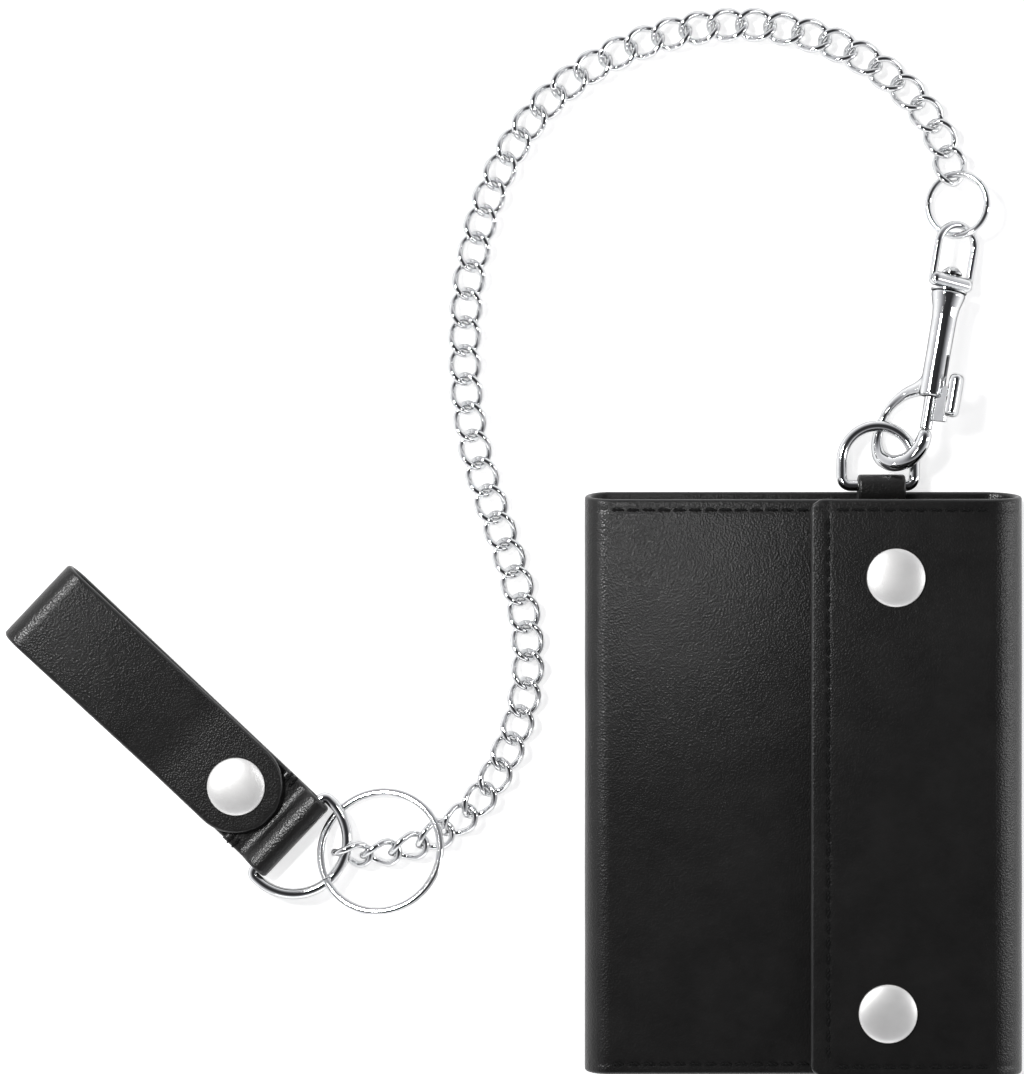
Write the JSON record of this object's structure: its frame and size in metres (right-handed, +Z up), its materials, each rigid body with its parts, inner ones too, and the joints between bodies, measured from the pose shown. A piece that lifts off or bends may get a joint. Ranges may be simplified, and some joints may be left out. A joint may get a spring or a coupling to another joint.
{
  "type": "chain wallet",
  "caption": "Snap-closed leather trifold wallet held by a curb chain with a bolt snap hook, key ring and leather belt loop.",
  "frame": {"origin": "centre of the wallet's back face, which lies on the table", "axes": "+X to the wallet's right as it lies closed with its flap up, +Y to its top edge, where the ring tab is, +Z up from the table"},
  "size_m": [0.2194, 0.23, 0.0163],
  "materials": {
    "black_leather": "smooth with fine grain",
    "dark_lining": "matte",
    "polished_chrome": "polished",
    "satin_nickel": "satin",
    "spring_steel": "drawn wire",
    "black_thread": "waxed thread"
  },
  "bodies": {
    "wallet_back": {"back_panel": "black_leather", "left_fold": "black_leather", "right_fold": "black_leather", "bill_divider": "dark_lining", "back_card_pocket_1": "dark_lining", "back_card_pocket_2": "dark_lining", "back_card_pocket_3": "dark_lining", "back_card_pocket_4": "dark_lining", "ring_tab": "black_leather"},
    "cover": {"cover_panel": "black_leather", "cover_lining": "dark_lining", "cover_card_pocket_1": "dark_lining", "cover_card_pocket_2": "dark_lining", "cover_card_pocket_3": "dark_lining", "flap_snap_stud": "satin_nickel", "flap_snap_eyelet": "satin_nickel", "cover_stitches": "black_thread"},
    "flap": {"flap_panel": "black_leather", "flap_lining": "dark_lining", "flap_snap_cap": "satin_nickel", "flap_snap_socket": "satin_nickel", "flap_stitches": "black_thread"},
    "wallet_d_ring": {"wallet_d_ring": "polished_chrome"},
    "snap_hook": {"hook_body": "polished_chrome", "hook_spring": "spring_steel", "swivel_rivet": "polished_chrome", "swivel_washer": "polished_chrome"},
    "hook_bolt": {"bolt_pin": "polished_chrome", "bolt_thumb_piece": "polished_chrome"},
    "swivel_eye": {"swivel_eye": "polished_chrome"},
    "jump_ring": {"jump_ring": "polished_chrome"},
    "chain_01": {"chain_links_01": "polished_chrome"},
    "chain_02": {"chain_links_02": "polished_chrome"},
    "chain_03": {"chain_links_03": "polished_chrome"},
    "chain_04": {"chain_links_04": "polished_chrome"},
    "chain_05": {"chain_links_05": "polished_chrome"},
    "chain_06": {"chain_links_06": "polished_chrome"},
    "chain_07": {"chain_links_07": "polished_chrome"},
    "chain_08": {"chain_links_08": "polished_chrome"},
    "chain_09": {"chain_links_09": "polished_chrome"},
    "chain_10": {"chain_links_10": "polished_chrome"},
    "chain_11": {"chain_links_11": "polished_chrome"},
    "chain_12": {"chain_links_12": "polished_chrome"},
    "belt_d_ring": {"belt_d_ring": "polished_chrome"},
    "key_ring": {"key_ring": "polished_chrome"},
    "belt_strap": {"strap_base": "black_leather", "strap_fold": "black_leather", "strap_snap_stud": "satin_nickel", "strap_snap_eyelet": "satin_nickel", "strap_stitches": "black_thread"},
    "strap_top": {"strap_top": "black_leather", "strap_snap_cap": "satin_nickel", "strap_snap_socket": "satin_nickel"}
  },
  "joints": [
    {"name": "flap_hinge", "type": "hinge", "parent": "wallet_back", "child": "flap", "pos_m": [0.0397, 0, 0.0073], "axis": [0, 1, 0], "range_deg": [0, 180], "deforming": ["right_fold"]},
    {"name": "cover_hinge", "type": "hinge", "parent": "wallet_back", "child": "cover", "pos_m": [-0.0416, 0, 0.0054], "axis": [0, -1, 0], "range_deg": [0, 18], "deforming": ["left_fold"]},
    {"name": "wallet_ring_swing", "type": "hinge", "parent": "wallet_back", "child": "wallet_d_ring", "pos_m": [0.0165, 0.0638, 0.0039], "axis": [1, 0, 0], "range_deg": [-15, 75]},
    {"name": "hook_on_ring", "type": "hinge", "parent": "wallet_d_ring", "child": "snap_hook", "pos_m": [0.017, 0.0768, 0.00325], "axis": [-0.825, 0.5645, -0.0275], "range_deg": [0, 15]},
    {"name": "bolt_slide", "type": "slide", "parent": "snap_hook", "child": "hook_bolt", "axis": [0.1762, 0.9811, -0.0797], "range_m": [0, 0.0065], "stiffness_N_per_m": 150, "springref_m": -0.006, "deforming": ["hook_spring"]},
    {"name": "hook_swivel", "type": "hinge", "parent": "snap_hook", "child": "swivel_eye", "pos_m": [0.0276, 0.083, 0.0067], "axis": [0.1762, 0.9811, -0.0797], "continuous": true},
    {"name": "jump_ring_on_eye", "type": "hinge", "parent": "swivel_eye", "child": "jump_ring", "pos_m": [0.03428, 0.12018, 0.00368], "axis": [0.8862, -0.193, -0.4211], "range_deg": [-10, 10]},
    {"name": "chain_on_jump_ring", "type": "hinge", "parent": "jump_ring", "child": "chain_01", "pos_m": [0.03111, 0.13059, 0.00254], "axis": [-0.8102, -0.4331, -0.3951], "range_deg": [-8, 8]},
    {"name": "chain_lift_01", "type": "hinge", "parent": "chain_01", "child": "chain_02", "pos_m": [0.02112, 0.15122, 0.00195], "axis": [0.6607, 0.7507, 0], "range_deg": [-4, 8]},
    {"name": "chain_turn_02", "type": "hinge", "parent": "chain_02", "child": "chain_03", "pos_m": [-0.00065, 0.16242, 0.00195], "axis": [0, 0, -1], "range_deg": [-1, 12]},
    {"name": "chain_lift_03", "type": "hinge", "parent": "chain_03", "child": "chain_04", "pos_m": [-0.02512, 0.16269, 0.00195], "axis": [-0.2071, 0.9783, 0], "range_deg": [-5, 12]},
    {"name": "chain_turn_04", "type": "hinge", "parent": "chain_04", "child": "chain_05", "pos_m": [-0.04778, 0.15325, 0.00195], "axis": [0, 0, -1], "range_deg": [-1, 12]},
    {"name": "chain_lift_05", "type": "hinge", "parent": "chain_05", "child": "chain_06", "pos_m": [-0.06394, 0.13492, 0.00195], "axis": [-0.8827, 0.4699, 0], "range_deg": [-5, 12]},
    {"name": "chain_turn_06", "type": "hinge", "parent": "chain_06", "child": "chain_07", "pos_m": [-0.07159, 0.11156, 0.00195], "axis": [0, 0, -1], "range_deg": [-1, 12]},
    {"name": "chain_lift_07", "type": "hinge", "parent": "chain_07", "child": "chain_08", "pos_m": [-0.07285, 0.08695, 0.00195], "axis": [-0.9984, -0.057, 0], "range_deg": [-5, 12]},
    {"name": "chain_turn_08", "type": "hinge", "parent": "chain_08", "child": "chain_09", "pos_m": [-0.06824, 0.06278, 0.00195], "axis": [0, 0, -1], "range_deg": [-2, 12]},
    {"name": "chain_lift_09", "type": "hinge", "parent": "chain_09", "child": "chain_10", "pos_m": [-0.06075, 0.03927, 0.00195], "axis": [-0.9743, -0.2251, 0], "range_deg": [-5, 12]},
    {"name": "chain_turn_10", "type": "hinge", "parent": "chain_10", "child": "chain_11", "pos_m": [-0.06061, 0.01484, 0.00195], "axis": [0, 0, -1], "range_deg": [-4, 12]},
    {"name": "chain_lift_11", "type": "hinge", "parent": "chain_11", "child": "chain_12", "pos_m": [-0.07187, -0.00684, 0.00195], "axis": [-0.7081, 0.7061, 0], "range_deg": [-2, 5]},
    {"name": "belt_ring_on_chain", "type": "hinge", "parent": "chain_12", "child": "belt_d_ring", "pos_m": [-0.1003, -0.0156, 0.0039], "axis": [0.0599, -0.9982, 0], "range_deg": [-1, 10]},
    {"name": "key_ring_swing", "type": "hinge", "parent": "belt_d_ring", "child": "key_ring", "pos_m": [-0.1009, -0.0135, 0.0035], "axis": [-0.2086, -0.944, 0.2556], "range_deg": [0, 15]},
    {"name": "belt_loop_on_ring", "type": "hinge", "parent": "belt_d_ring", "child": "belt_strap", "pos_m": [-0.11127, -0.01171, 0.00275], "axis": [0.6865, 0.7271, 0], "range_deg": [-25, 25]},
    {"name": "strap_unsnap", "type": "hinge", "parent": "belt_strap", "child": "strap_top", "pos_m": [-0.1622, 0.03638, 0.0044], "axis": [-0.6865, -0.7271, 0], "range_deg": [0, 150], "deforming": ["strap_fold"]}
  ],
  "couplings": [
    {"joint": "cover_hinge", "follows": "flap_hinge", "ratio": 0.1}
  ]
}
